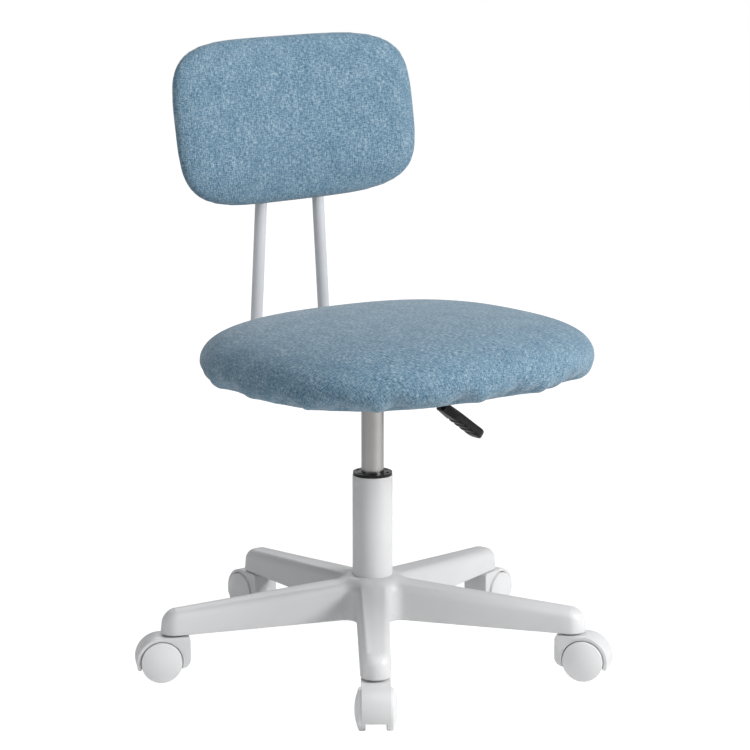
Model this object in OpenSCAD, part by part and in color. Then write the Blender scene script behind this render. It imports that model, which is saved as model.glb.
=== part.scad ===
// Swivel office chair: five-arm base on twin-wheel casters, gas lift, padded seat and backrest.
// Origin on the floor under the column axis, +Z up, the front of the seat towards -Y.

/* [Casters] */
// Diameter of a wheel
wheel_d = 50; // [40:1:65]
// Width of one wheel of a pair
wheel_w = 12.7; // [9:0.1:16]
// Distance between the inner faces of a pair
wheel_gap = 24.6; // [20:0.2:34]
// Distance from the stem axis to the axle
caster_trail = 18.5; // [12:0.5:28]
// Width of the hood between the wheels' outer parts
hood_w = 34; // [30:1:44]
// Thickness of the hood's rim over the wheels
hood_rim = 4.1; // [3:0.1:7]
// Height of the hood's lower edge over the floor
hood_lift = 16; // [12:1:22]
// Diameter of the caster stem
stem_d = 11; // [8:0.5:12]
// Depth of the stem's socket in the arm
socket_depth = 22; // [16:1:28]
// Diameter of the axle
axle_d = 6; // [4:0.5:8]
// Angle at which the second caster is parked, from straight outwards
parked_turn = -9; // [-180:1:180]

/* [Base] */
// Distance from the column axis to a caster stem
stem_radius = 255; // [200:5:320]
// Width of an arm at its tip
arm_tip_w = 36; // [30:1:44]
// Width of an arm at the hub
arm_root_w = 42; // [34:1:56]
// Height of an arm where its domed tip starts
arm_tip_h = 29; // [24:1:40]
// Height of an arm at the hub
arm_root_h = 46; // [34:1:60]
// Height of the hub
hub_h = 51; // [40:1:70]
// Diameter of the hub's collar
hub_d = 66; // [60:1:78]
// Diameter of the hub where the arms meet
root_d = 84; // [80:1:110]
// Wall of the moulded base
base_wall = 3.2; // [2.5:0.1:5]
// Gap between the hood and the arm
arm_gap = 2.5; // [2:0.1:5]

/* [Column] */
// Outside diameter of the column
column_d = 50; // [45:1:60]
// Wall of the column
column_wall = 2; // [1.5:0.1:3]
// Length of the column over the hub
column_rise = 128; // [95:1:180]
// Length of the column below the hub
column_tail = 4; // [2:1:10]
// Thickness of the column's end plate
end_plate_t = 3; // [2:0.5:5]
// Length of the guide bushing inside the column
bushing_l = 72; // [50:1:80]
// Thickness of the bushing's flange
bushing_flange_t = 3.7; // [2:0.1:6]

/* [Gas lift] */
// Outside diameter of the gas cylinder
cylinder_d = 28; // [24:1:32]
// Wall of the gas cylinder
cylinder_wall = 2; // [1.5:0.1:3]
// How far the seat goes down
lift_stroke = 78; // [50:1:110]
// Gap between the socket and the bushing when the seat is down
lift_spare = 4.3; // [2:0.1:10]
// Length of the taper at the cylinder's head
taper_l = 24; // [18:1:32]
// Diameter of the piston rod
rod_d = 10; // [8:0.5:12]
// Diameter of the rod's lower pin
pin_d = 8; // [6:0.5:9]
// Diameter of the thrust washers
washer_d = 26; // [22:1:34]
// Thickness of a thrust washer
washer_t = 2; // [1:0.5:3]
// Diameter of a bearing ball
ball_d = 4; // [3:0.5:5]
// Number of bearing balls
ball_count = 8; // [6:1:10]
// Height of the rubber bump stop
bump_h = 8; // [4:1:12]
// Diameter of the valve button
button_d = 6; // [5:0.5:8]
// Height of the valve button over the cylinder's head
button_proud = 3.5; // [3:0.1:5]

/* [Mechanism] */
// Width of the mechanism's flange
flange_w = 170; // [140:5:200]
// Length of the mechanism's flange
flange_l = 130; // [126:2:150]
// Thickness of the pressed steel
steel_t = 2.5; // [2:0.1:4]
// Width of the mechanism's box
box_w = 84; // [70:2:110]
// Length of the mechanism's box
box_l = 96; // [70:2:120]
// Depth of the mechanism's box
box_depth = 25; // [22:1:36]
// How far the taper socket hangs below the box
socket_drop = 18; // [8:1:24]
// Wall of the taper socket
socket_wall = 1.7; // [1.4:0.1:4]
// Bolt spacing across the flange
bolt_span_x = 140; // [116:1:180]
// Bolt spacing along the flange
bolt_span_y = 104; // [90:1:116]
// Diameter of the mounting bolts
bolt_d = 6; // [5:1:8]

/* [Lever] */
// Diameter of the lever rod
lever_d = 6; // [5:0.5:8]
// Angle at which the lever hangs down outside the box
lever_droop = 36.5; // [20:0.5:45]
// Length of the lever from its pivot to the paddle
lever_neck = 72; // [60:1:110]
// Length of the paddle
paddle_l = 80; // [60:1:100]
// Width of the paddle
paddle_w = 26; // [18:1:36]
// Thickness of the paddle
paddle_t = 12; // [10:0.5:16]

/* [Seat] */
// Width of the seat
seat_w = 474; // [380:2:560]
// Length of the seat from front to back
seat_l = 394; // [330:2:470]
// Distance of the seat's centre ahead of the column axis
seat_forward = 52; // [30:1:70]
// Height of the seat's dome over its widest line
seat_dome = 57; // [40:1:75]
// Height of the seat's side under its widest line
seat_side = 24; // [20:1:34]
// How far the side draws in towards the board
seat_tuck = 30; // [26:1:45]
// Squareness of the seat's outline
seat_square = 2.62; // [2:0.1:4]
// Fullness of the seat's dome
seat_full = 2.5; // [2:0.1:3.5]
// Thickness of the cloth cover
cover_t = 1.2; // [0.8:0.1:2]
// Thickness of the seat board
board_t = 12; // [9:1:18]
// Distance of the board's edge inside the turn of the cover
board_ease = 1; // [1:0.5:10]
// Width of the cover's turned-in edge under the board
hem_w = 32; // [20:1:45]
// Thickness of the dust cover
dust_t = 0.8; // [0.5:0.1:1.5]

/* [Backrest] */
// Width of the backrest
back_w = 364; // [300:2:440]
// Height of the backrest
back_h = 212; // [170:2:260]
// Thickness of the backrest
back_t = 46; // [40:1:60]
// Height of the backrest's centre over the seat's top
back_rise = 218; // [190:1:280]
// Distance of the backrest's centre behind the column axis
back_behind = 186; // [170:1:230]
// Angle at which the backrest leans
back_lean = 8; // [2:0.5:15]
// How far the backrest's sides come forward
back_sag = 24; // [8:1:36]
// Squareness of the backrest's outline
back_square = 4; // [3:0.1:6]
// Fullness of the backrest's edge
back_full = 2.5; // [2:0.1:3.5]
// Thickness of the back board
back_board_t = 5; // [3:0.5:8]
// Distance of the back board's edge inside the cover
back_board_inset = 18; // [14:1:40]

/* [Back tubes] */
// Outside diameter of a back tube
tube_d = 15; // [12:0.5:18]
// Wall of a back tube
tube_wall = 1.5; // [1:0.1:2.5]
// Distance of a tube's upright part behind the column axis
tube_behind = 176; // [160:1:220]
// Distance between the tubes under the seat
tube_span = 112; // [96:1:130]
// Angle at which each tube leans in
tube_splay = 3.3; // [0:0.1:5]
// Radius of the bend behind the seat
tube_bend = 45; // [35:1:60]
// Length of a tube's run under the seat
tube_run = 86; // [70:1:110]
// Depth of the tube inside the backrest
tube_depth = 125; // [80:1:160]

/* [Fits] */
// Radial clearance of a running fit
running = 0.05; // [0.02:0.01:0.1]
// Clearance between pieces that only pass each other
loose = 0.3; // [0.2:0.1:1]

/* [Hidden] */
$fn = 64;
arms = 5;

// Casters, up from the floor
wheel_r = wheel_d / 2;
wheel_side = 1.2;
hood_r = wheel_r + wheel_side + hood_rim;
hood_top = wheel_r + hood_r + 0.2;
hood_neck = hood_w / 2;
web_w = wheel_gap - 1;
wheel_out = wheel_gap / 2 + wheel_w;
axle_l = 2 * wheel_out - 10;

// Base
base_z = hood_top + arm_gap;
hub_top = base_z + hub_h;
hub_lip = 1;
sleeve_wall = 1;
socket_d = stem_d + 2 * (sleeve_wall + running) + 2 * running;
stem_seat = 14;
collar_d = stem_d + 7;

// Column and gas lift
column_top = hub_top + column_rise;
column_bottom = base_z - column_tail;
column_id = column_d - 2 * column_wall;
plate_top = column_bottom + end_plate_t;
race_z = plate_top + washer_t;
rod_z = race_z + ball_d + washer_t;
bump_top = rod_z + bump_h;
cylinder_z = bump_top + 3 + lift_stroke;
seal_l = 12;
piston_h = 10;
piston_z = cylinder_z + seal_l + 2;
flange_top = column_top + bushing_flange_t;
socket_z = flange_top + lift_spare + lift_stroke;
cylinder_top = socket_z + taper_l;
cylinder_id = cylinder_d - 2 * cylinder_wall;
taper_slope = 1 / 20;
head_l = 12;
clip_t = 1.5;

// Mechanism and lever
box_z = socket_z + socket_drop;
plate_z = box_z + box_depth;
board_under = plate_z + dust_t;
bolt_head = 4;
nut_d = bolt_d + 2;
button_top = cylinder_top + button_proud;
lever_z = button_top + loose + lever_d / 2;
lever_x = box_w / 2 - steel_t / 2;
lever_start = 9;

// Seat
seat_mid = board_under + seat_side;
seat_top = seat_mid + seat_dome;
board_z = board_under + cover_t;
board_hw = seat_w / 2 - seat_tuck - board_ease;
board_hl = seat_l / 2 - seat_tuck - board_ease;
pad_sides = 40;

// Backrest and its tubes
back_z = seat_top + back_rise;
tube_r = tube_d / 2;
tube_z = plate_z - steel_t - tube_r;
tube_back = 4;
back_bow_r = pow(back_w / 2, 2) / (2 * back_sag);
upright_top = back_z + (tube_behind - back_behind - tube_back * cos(back_lean)) / tan(back_lean);
lean_bend = 100;
tube_plate_l = 40;
tube_plate_y = flange_l / 2 + 3 + tube_plate_l / 2;
tube_bolt_x = tube_span - tube_d - 26;
tube_bolt_y = tube_plate_l - 20;
board_rear = tube_r - tube_back + 0.2;
back_screw_d = 5;
back_screw_x = tube_span / 2 - (back_z - tube_z) * tan(tube_splay);

// Power that keeps its sign
function spow(v, p) = sign(v) * pow(abs(v), p);

// Outline of a soft rectangle with half sizes a and b
function outline(a, b, square, sides = pad_sides) = [
    for (i = [0:sides - 1])
        let (t = 360 * i / sides)
            [a * spow(cos(t), 2 / square), b * spow(sin(t), 2 / square)]
];

// One ring of a pad: the outline at height z
function ring(a, b, square, z) = [for (p = outline(a, b, square)) [p[0], p[1], z]];

// Rings of the seat, drawn in by t from its outer face
function seat_rings(t) = concat(
    [for (q = [0:18:90])
        let (draw = (seat_tuck - t) * (1 - pow(sin(q), 0.9)))
            ring(seat_w / 2 - t - draw, seat_l / 2 - t - draw, seat_square,
                 seat_mid - (seat_side - t) * pow(cos(q), 0.9))],
    [for (q = [12:12:84])
        let (share = pow(cos(q), 2 / seat_full))
            ring((seat_w / 2 - t) * share, (seat_l / 2 - t) * share, seat_square,
                 seat_mid + (seat_dome - t) * pow(sin(q), 2 / seat_full))]);

// Rings of the backrest in its own frame: x across, y up the back, z forwards
function back_rings(t) = [
    for (q = [-80, -62, -42, -20, 0, 20, 42, 62, 80])
        let (share = pow(cos(q), 2 / back_full))
            [for (p = outline((back_w / 2 - t) * share, (back_h / 2 - t) * share, back_square))
                [p[0], p[1], (back_t / 2 - t) * spow(sin(q), 2 / back_full)
                    + back_sag * pow(2 * p[0] / back_w, 2)]]
];

function middle(points) = [for (axis = [0:2]) [for (p = points) p[axis]] * [for (p = points) 1] / len(points)];

// A closed soft solid through a stack of rings
module pad(rings) {
    count = len(rings[0]);
    last = len(rings) - 1;
    points = concat([for (r = rings) each r], [middle(rings[0]), middle(rings[last])]);
    polyhedron(points, concat(
        [for (j = [0:last - 1], i = [0:count - 1])
            let (a = j * count + i, b = j * count + (i + 1) % count) each
                [[a, a + count, b + count], [a, b + count, b]]],
        [for (i = [0:count - 1]) [i, (i + 1) % count, (last + 1) * count]],
        [for (i = [0:count - 1])
            [last * count + (i + 1) % count, last * count + i, (last + 1) * count + 1]]));
}

module ring_tube(outer, inner, h) {
    difference() {
        cylinder(d = outer, h = h);
        translate([0, 0, -1]) cylinder(d = inner, h = h + 2);
    }
}

module round_plate(w, l, r, h) {
    translate([0, 0, h / 2]) {
        cube([w - 2 * r, l, h], center = true);
        cube([w, l - 2 * r, h], center = true);
    }
    for (x = [-1, 1], y = [-1, 1]) translate([x * (w / 2 - r), y * (l / 2 - r), 0]) cylinder(r = r, h = h);
}

module at_bolts(span_x, span_y) {
    for (x = [-1, 1], y = [-1, 1]) translate([x * span_x / 2, y * span_y / 2, 0]) children();
}

// Arms point away from the column, the first one straight back
module at_arm(k) {
    rotate([0, 0, (k - 1) * 360 / arms]) children();
}

module at_stem(k) {
    at_arm(k) translate([0, stem_radius, 0]) rotate([0, 0, k == 2 ? parked_turn : 0]) children();
}

module at_axle(k) {
    at_stem(k) translate([0, caster_trail, wheel_r]) rotate([0, 90, 0]) children();
}

// Side view of an arm, drawn in by t on its top and tip
module arm_side(t) {
    tip = stem_radius + arm_tip_w / 2 + 1 - t;
    shoulder = arm_tip_h * 0.55;
    translate([0, 0, base_z]) rotate([90, 0, 90]) linear_extrude(arm_root_w + 2, center = true) difference() {
        union() {
            polygon([[0, 0], [tip, 0], [tip, arm_tip_h - shoulder], [tip - shoulder, arm_tip_h - t],
                     [hub_d / 2, arm_root_h - t], [0, arm_root_h - t]]);
            translate([tip - shoulder, arm_tip_h - shoulder]) circle(r = shoulder - t / 2);
        }
        translate([0, -2 * hub_h]) square([2 * tip, 2 * hub_h]);
    }
}

// Plan of an arm, drawn in by t all round
module arm_plan(t) {
    translate([0, 0, base_z - 1]) linear_extrude(hub_h + 2) {
        polygon([[-arm_root_w / 2 + t, 0], [arm_root_w / 2 - t, 0],
                 [arm_tip_w / 2 - t, stem_radius], [-arm_tip_w / 2 + t, stem_radius]]);
        translate([0, stem_radius]) circle(r = arm_tip_w / 2 - t);
    }
}

module arm(t = 0) {
    intersection() {
        arm_side(t);
        arm_plan(t);
    }
}

module star_base() {
    color("whitesmoke") difference() {
        union() {
            difference() {
                union() {
                    translate([0, 0, base_z]) cylinder(d = hub_d, h = hub_h);
                    translate([0, 0, base_z - hub_lip]) cylinder(d = root_d, h = arm_root_h + 1.5 * hub_lip);
                    for (k = [1:arms]) at_arm(k) arm();
                }
                for (k = [1:arms]) at_arm(k) difference() {
                    arm(base_wall);
                    cylinder(d = root_d + 4, h = hub_top);
                }
            }
            for (k = [1:arms]) at_arm(k) intersection() {
                arm();
                union() {
                    translate([0, stem_radius, base_z])
                        cylinder(d = socket_d + 2 * base_wall, h = socket_depth + base_wall);
                    translate([-base_wall / 2, root_d / 2 - 4, base_z + 2])
                        cube([base_wall, stem_radius - root_d / 2, hub_h]);
                }
            }
        }
        translate([0, 0, base_z - 2 * hub_lip]) cylinder(d = column_d, h = hub_h + 4 * hub_lip);
        for (k = [1:arms]) at_arm(k) translate([0, stem_radius, base_z - 1])
            cylinder(d = socket_d, h = socket_depth + 1);
    }
}

module stem_sleeves() {
    color("gray") for (k = [1:arms]) at_arm(k) translate([0, stem_radius, base_z + 0.5])
        ring_tube(socket_d - 2 * running, stem_d + 2 * running, socket_depth - 1);
}

module column_tube() {
    color("white") {
        translate([0, 0, column_bottom]) ring_tube(column_d, column_id, column_top - column_bottom);
        translate([0, 0, column_bottom]) ring_tube(column_id, pin_d + 2 * running, end_plate_t);
    }
}

module guide_bushing() {
    notches = 6;
    color("black") difference() {
        union() {
            translate([0, 0, column_top - bushing_l])
                cylinder(d = column_id - 2 * running, h = bushing_l);
            translate([0, 0, column_top]) cylinder(d = column_d - 1, h = bushing_flange_t);
        }
        translate([0, 0, column_top - bushing_l - 1])
            cylinder(d = cylinder_d + 2 * running, h = bushing_l + bushing_flange_t + 2);
        for (i = [1:notches]) rotate([0, 0, 360 * i / notches])
            translate([column_d / 2 - 6.5, -4, flange_top - 1.2]) cube([3, 8, 3]);
    }
}

module thrust_washer_lower() {
    color("silver") translate([0, 0, plate_top]) ring_tube(washer_d, pin_d + 2 * running, washer_t);
}

module bearing_balls() {
    color("silver") for (i = [1:ball_count]) rotate([0, 0, 360 * i / ball_count])
        translate([(washer_d + pin_d) / 4, 0, race_z + ball_d / 2]) sphere(d = ball_d - 0.04);
}

module thrust_washer_upper() {
    color("silver") translate([0, 0, race_z + ball_d]) ring_tube(washer_d, pin_d, washer_t);
}

module bump_stop() {
    color("black") translate([0, 0, rod_z]) ring_tube(washer_d - 2, rod_d, bump_h);
}

module piston_rod() {
    groove = 0.6;
    color("silver") difference() {
        union() {
            translate([0, 0, column_bottom - 6]) cylinder(d = pin_d, h = rod_z - column_bottom + 6);
            translate([0, 0, rod_z]) cylinder(d = rod_d, h = piston_z + piston_h + 2 - rod_z);
        }
        translate([0, 0, column_bottom - loose - clip_t])
            ring_tube(pin_d + 2, pin_d - 2 * groove, clip_t);
    }
}

module piston() {
    color("black") translate([0, 0, piston_z])
        ring_tube(cylinder_id - 2 * running, rod_d, piston_h);
}

module retaining_clip() {
    color("dimgray") difference() {
        translate([0, 0, column_bottom - loose - clip_t + 0.05])
            ring_tube(pin_d + 8, pin_d - 1.2, clip_t - 0.1);
        translate([0, -(pin_d - 2) / 2, column_bottom - 10]) cube([pin_d, pin_d - 2, 20]);
    }
}

module gas_cylinder() {
    color("silver") difference() {
        union() {
            translate([0, 0, cylinder_z]) cylinder(d = cylinder_d, h = socket_z - cylinder_z);
            translate([0, 0, socket_z])
                cylinder(d1 = cylinder_d - 0.2, d2 = cylinder_d - 0.2 - taper_l * taper_slope, h = taper_l);
        }
        translate([0, 0, cylinder_z - 1]) cylinder(d = cylinder_id, h = cylinder_top - head_l - cylinder_z + 1);
        translate([0, 0, cylinder_z]) cylinder(d = button_d + 2 * running, h = cylinder_top);
    }
}

module cylinder_seal() {
    color("black") translate([0, 0, cylinder_z])
        ring_tube(cylinder_id, rod_d + 2 * running, seal_l);
}

module valve_button() {
    color("gray") translate([0, 0, cylinder_top - head_l + 3])
        cylinder(d = button_d, h = head_l - 3 + button_proud);
}

module mechanism_plate() {
    color("black") difference() {
        union() {
            difference() {
                union() {
                    translate([0, 0, plate_z - steel_t]) round_plate(flange_w, flange_l, 18, steel_t);
                    translate([0, 0, box_z]) round_plate(box_w, box_l, 8, box_depth - 1);
                }
                translate([0, 0, box_z + steel_t])
                    round_plate(box_w - 2 * steel_t, box_l - 2 * steel_t, 8 - steel_t, box_depth);
            }
            translate([0, 0, socket_z])
                cylinder(d = cylinder_d + 2 * socket_wall, h = taper_l);
        }
        translate([0, 0, socket_z]) cylinder(
            d1 = cylinder_d - 0.2 + 2 * running,
            d2 = cylinder_d - 0.2 - taper_l * taper_slope + 2 * running, h = taper_l);
        translate([box_w / 2 - 10, 0, lever_z]) rotate([0, 90, 0]) cylinder(d = lever_d + 5, h = 20);
        translate([0, 0, plate_z - steel_t - 1])
            at_bolts(bolt_span_x, bolt_span_y) cylinder(d = bolt_d + 0.6, h = steel_t + 2);
    }
}

module lever_grommet() {
    color("dimgray") translate([box_w / 2 - steel_t - 1, 0, lever_z]) rotate([0, 90, 0]) difference() {
        union() {
            cylinder(d = lever_d + 5 - 2 * running, h = steel_t + 3);
            translate([0, 0, steel_t + 1]) cylinder(d = lever_d + 9, h = 2);
        }
        translate([0, 0, -1]) cylinder(d = lever_d + 2 * loose, h = steel_t + 6);
    }
}

module bolt(grip) {
    rotate([0, 0, 30]) translate([0, 0, -bolt_head]) cylinder(d = 2 * bolt_d - 2, h = bolt_head, $fn = 6);
    cylinder(d = bolt_d, h = grip);
}

module plate_bolts() {
    color("dimgray") translate([0, 0, plate_z - steel_t])
        at_bolts(bolt_span_x, bolt_span_y) bolt(steel_t + dust_t + cover_t + board_t - 1);
}

// T-nuts lie flush in the top of the board
module t_nut(hole = 0) {
    translate([0, 0, board_z + 2]) cylinder(d = nut_d + 2 * hole, h = board_t - 2);
    translate([0, 0, board_z + board_t - 1.5 - hole]) cylinder(d = nut_d + 10 + 2 * hole, h = 1.5 + hole);
}

module plate_nuts() {
    color("silver") {
        at_bolts(bolt_span_x, bolt_span_y) difference() {
            t_nut();
            cylinder(d = bolt_d, h = seat_top);
        }
        translate([0, tube_plate_y, 0]) at_bolts(tube_bolt_x, tube_bolt_y) difference() {
            t_nut();
            cylinder(d = bolt_d, h = seat_top);
        }
    }
}

// The rod turns down where it leaves the box
module lever_rod() {
    color("black") translate([lever_x, 0, lever_z]) {
        rotate([0, -90, 0]) cylinder(d = lever_d, h = lever_x + lever_d);
        rotate([0, 90, 0]) cylinder(d = lever_d, h = lever_start);
        translate([lever_start, 0, 0]) {
            sphere(d = lever_d);
            rotate([0, 90 + lever_droop, 0]) cylinder(d = lever_d, h = lever_neck + paddle_l - 14);
        }
    }
}

module at_paddle() {
    translate([lever_x + lever_start, 0, lever_z]) rotate([0, lever_droop, 0])
        translate([lever_neck, 0, 0]) children();
}

module lever_paddle() {
    ribs = 5;
    grip = paddle_l - paddle_w / 2;
    color("black") at_paddle() difference() {
        union() {
            translate([0, 0, -paddle_t / 2]) {
                translate([grip, 0, 0]) cylinder(d = paddle_w, h = paddle_t);
                linear_extrude(paddle_t) polygon([[0, -paddle_w * 0.3], [grip * 0.45, -paddle_w / 2],
                    [grip, -paddle_w / 2], [grip, paddle_w / 2], [grip * 0.45, paddle_w / 2],
                    [0, paddle_w * 0.3]]);
            }
        }
        translate([-1, 0, 0]) rotate([0, 90, 0]) cylinder(d = lever_d + 2 * running, h = paddle_l - 13);
        for (i = [1:ribs]) translate([grip * (0.4 + 0.12 * i), 0, -paddle_t / 2 - 0.5])
            cube([3, paddle_w + 2, 2.5], center = true);
    }
}

module seat_board() {
    color("burlywood") difference() {
        translate([0, -seat_forward, board_z]) linear_extrude(board_t)
            polygon(outline(board_hw, board_hl, seat_square));
        at_bolts(bolt_span_x, bolt_span_y) {
            t_nut(0.05);
            cylinder(d = bolt_d + 1, h = seat_top);
        }
        translate([0, tube_plate_y, 0]) at_bolts(tube_bolt_x, tube_bolt_y) {
            t_nut(0.05);
            cylinder(d = bolt_d + 1, h = seat_top);
        }
    }
}

module seat_foam() {
    color("lightyellow") translate([0, -seat_forward, 0]) difference() {
        pad(seat_rings(cover_t + 0.1));
        translate([0, 0, board_z - 10]) linear_extrude(board_t + 10)
            polygon(outline(board_hw + 0.2, board_hl + 0.2, seat_square));
    }
}

module seat_cover() {
    color("steelblue") difference() {
        translate([0, -seat_forward, 0]) difference() {
            pad(seat_rings(0));
            pad(seat_rings(cover_t));
            translate([0, 0, board_under - 1]) linear_extrude(cover_t + 2)
                polygon(outline(board_hw - hem_w, board_hl - hem_w, seat_square));
        }
        translate([0, tube_plate_y, board_under - 1]) at_bolts(tube_bolt_x, tube_bolt_y)
            cylinder(d = bolt_d + 1, h = cover_t + 2);
    }
}

module dust_cover() {
    color("black") difference() {
        translate([0, -seat_forward, plate_z]) linear_extrude(dust_t)
            polygon(outline(board_hw - 8, board_hl - 8, seat_square));
        translate([0, 0, plate_z - 1]) {
            at_bolts(bolt_span_x, bolt_span_y) cylinder(d = bolt_d + 1, h = 4);
            translate([0, tube_plate_y, 0]) at_bolts(tube_bolt_x, tube_bolt_y)
                cylinder(d = bolt_d + 1, h = 4);
        }
    }
}

// The plate that the tubes are welded under, at the back of the seat
module tube_plate() {
    color("black") difference() {
        translate([0, tube_plate_y, plate_z - steel_t])
            round_plate(tube_span + tube_d + 8, tube_plate_l, 6, steel_t);
        translate([0, tube_plate_y, plate_z - steel_t - 1]) at_bolts(tube_bolt_x, tube_bolt_y)
            cylinder(d = bolt_d + 0.6, h = steel_t + 2);
    }
}

module tube_plate_bolts() {
    color("dimgray") translate([0, tube_plate_y, plate_z - steel_t]) at_bolts(tube_bolt_x, tube_bolt_y)
        bolt(steel_t + dust_t + cover_t + board_t - 1);
}

// A round bar that runs along +Y, bends up and then leans back into the backrest
module tube_path(r, extra = 0) {
    rise = upright_top - tube_z - tube_bend - lean_bend * tan(back_lean / 2);
    translate([0, tube_behind - tube_bend - tube_run, 0]) {
        translate([0, -extra, 0]) rotate([-90, 0, 0]) cylinder(r = r, h = tube_run + extra);
        translate([0, tube_run, 0]) {
            translate([0, 0, tube_bend]) rotate([0, 90, 0]) rotate_extrude(angle = 90)
                translate([tube_bend, 0]) circle(r = r);
            translate([0, tube_bend, tube_bend]) {
                cylinder(r = r, h = rise);
                translate([0, lean_bend, rise]) rotate([90, 0, -90])
                    rotate_extrude(angle = back_lean) translate([lean_bend, 0]) circle(r = r);
                translate([0, lean_bend * (1 - cos(back_lean)), rise + lean_bend * sin(back_lean)])
                    rotate([-back_lean, 0, 0]) {
                        cylinder(r = r, h = tube_depth + extra);
                        sphere(r = r + 0.1);
                    }
            }
        }
    }
}

module at_tube(side) {
    translate([side * tube_span / 2, 0, tube_z]) rotate([0, -side * tube_splay, 0]) children();
}

module back_tube(side) {
    color("gainsboro") difference() {
        at_tube(side) difference() {
            tube_path(tube_r);
            tube_path(tube_r - tube_wall, 1);
        }
        at_back() back_screw_holes(side);
    }
}

// Straight holes for the tubes in the backrest, a little wider where the tubes lean
module tube_holes(r) {
    for (side = [-1, 1]) at_tube(side) translate([0, tube_behind, upright_top - tube_z])
        rotate([-back_lean, 0, 0]) translate([0, 0, -tube_d]) cylinder(r = r + 0.7, h = tube_depth + 2 * tube_d);
}

module tube_plugs() {
    color("black") for (side = [-1, 1]) at_tube(side)
        translate([0, tube_behind - tube_bend - tube_run, 0]) rotate([90, 0, 0]) {
            cylinder(r = tube_r, h = 2);
            translate([0, 0, -12]) cylinder(r = tube_r - tube_wall - 0.1, h = 12);
        }
}

// The backrest's own frame: x across, y up the back, z forwards
module at_back() {
    translate([0, back_behind, back_z]) rotate([90 - back_lean, 0, 0]) children();
}

function back_screw_y(row) = -back_h / 2 + tube_depth * (row == 0 ? 0.45 : 0.85);
function tube_x(y) = back_screw_x - y * tan(tube_splay);

// Height of a screw head's seat over the middle of the backrest: the board's face under the head's rim
function back_screw_seat(x) = board_rear + back_board_t
    + back_bow_r - sqrt(pow(back_bow_r, 2) - pow(x + back_screw_d, 2)) + 0.1;

module back_screw_holes(side) {
    for (row = [0, 1]) translate([side * tube_x(back_screw_y(row)), back_screw_y(row), -back_t])
        cylinder(d = back_screw_d + 0.2, h = 2 * back_t);
}

// A bowed slab in the backrest's frame, larger than the board by ease and thicker by front
module bowed_slab(ease, front) {
    intersection() {
        translate([0, 0, -back_t]) linear_extrude(3 * back_t)
            polygon(outline(back_w / 2 - back_board_inset + ease, back_h / 2 - back_board_inset + ease,
                            back_square));
        translate([0, 0, back_bow_r + board_rear]) rotate([90, 0, 0]) difference() {
            cylinder(r = back_bow_r + ease, h = 2 * back_h, center = true, $fn = 256);
            cylinder(r = back_bow_r - back_board_t - front, h = 3 * back_h, center = true, $fn = 256);
        }
    }
}

module back_board() {
    color("burlywood") at_back() difference() {
        bowed_slab(0, 0);
        for (side = [-1, 1]) back_screw_holes(side);
    }
}

module back_foam() {
    color("lightyellow") difference() {
        at_back() difference() {
            pad(back_rings(cover_t + 0.1));
            bowed_slab(0.3, 0.3);
        }
        tube_holes(tube_r + 0.2);
        at_back() for (side = [-1, 1], row = [0, 1]) {
            y = back_screw_y(row);
            x = tube_x(y);
            translate([side * x, y, -tube_r - tube_back - 3])
                cylinder(d = 2 * back_screw_d + 1, h = tube_r + tube_back + 3 + back_screw_seat(x) + 3.2);
        }
    }
}

module back_cover() {
    color("steelblue") difference() {
        at_back() difference() {
            pad(back_rings(0));
            pad(back_rings(cover_t));
        }
        tube_holes(tube_r + loose);
    }
}

module back_screws() {
    tail = tube_r + tube_back + 2;
    color("dimgray") at_back() for (side = [-1, 1], row = [0, 1]) {
        y = back_screw_y(row);
        x = tube_x(y);
        translate([side * x, y, 0]) {
            translate([0, 0, -tail]) cylinder(d = back_screw_d, h = tail + back_screw_seat(x));
            translate([0, 0, back_screw_seat(x)]) cylinder(d = 2 * back_screw_d, h = 2.2);
        }
    }
}

// Side view of a hood: a square neck over the stem that runs into an arch over the wheels
module hood_side(r) {
    corner = 12;
    neck = 5;
    difference() {
        union() {
            translate([caster_trail, wheel_r]) circle(r = r);
            translate([-hood_neck, hood_lift + corner])
                square([hood_neck + caster_trail, hood_top - hood_lift - corner - neck]);
            translate([-hood_neck + neck, wheel_r]) square([hood_neck + caster_trail - neck, hood_top - wheel_r]);
            translate([-hood_neck + neck, hood_top - neck]) circle(r = neck);
            translate([-hood_neck + corner, hood_lift + corner]) circle(r = corner);
            translate([-hood_neck + corner, hood_lift]) square([hood_neck + caster_trail - corner, wheel_r]);
        }
        translate([-2 * hood_r, hood_lift - 2 * hood_r]) square([6 * hood_r, 2 * hood_r]);
    }
}

module caster_hood(k) {
    pocket_r = wheel_r + wheel_side;
    color("whitesmoke") difference() {
        at_stem(k) difference() {
            rotate([90, 0, 90]) linear_extrude(hood_w, center = true) hood_side(hood_r);
            translate([0, 0, hood_top - stem_seat]) cylinder(d = stem_d, h = stem_seat + 1);
        }
        for (side = [-1, 1]) at_axle(k)
            translate([0, 0, side > 0 ? web_w / 2 : -web_w / 2 - hood_w]) cylinder(r = pocket_r, h = hood_w);
        at_axle(k) cylinder(d = axle_d, h = 2 * hood_w, center = true);
    }
}

module caster_stem(k) {
    collar_t = 1.8;
    color("silver") at_stem(k) {
        translate([0, 0, hood_top - stem_seat])
            cylinder(d = stem_d, h = stem_seat + arm_gap + socket_depth - 1.5);
        translate([0, 0, hood_top]) cylinder(d = collar_d, h = collar_t);
    }
}

module caster_axle(k) {
    color("silver") at_axle(k) cylinder(d = axle_d, h = axle_l, center = true);
}

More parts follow.
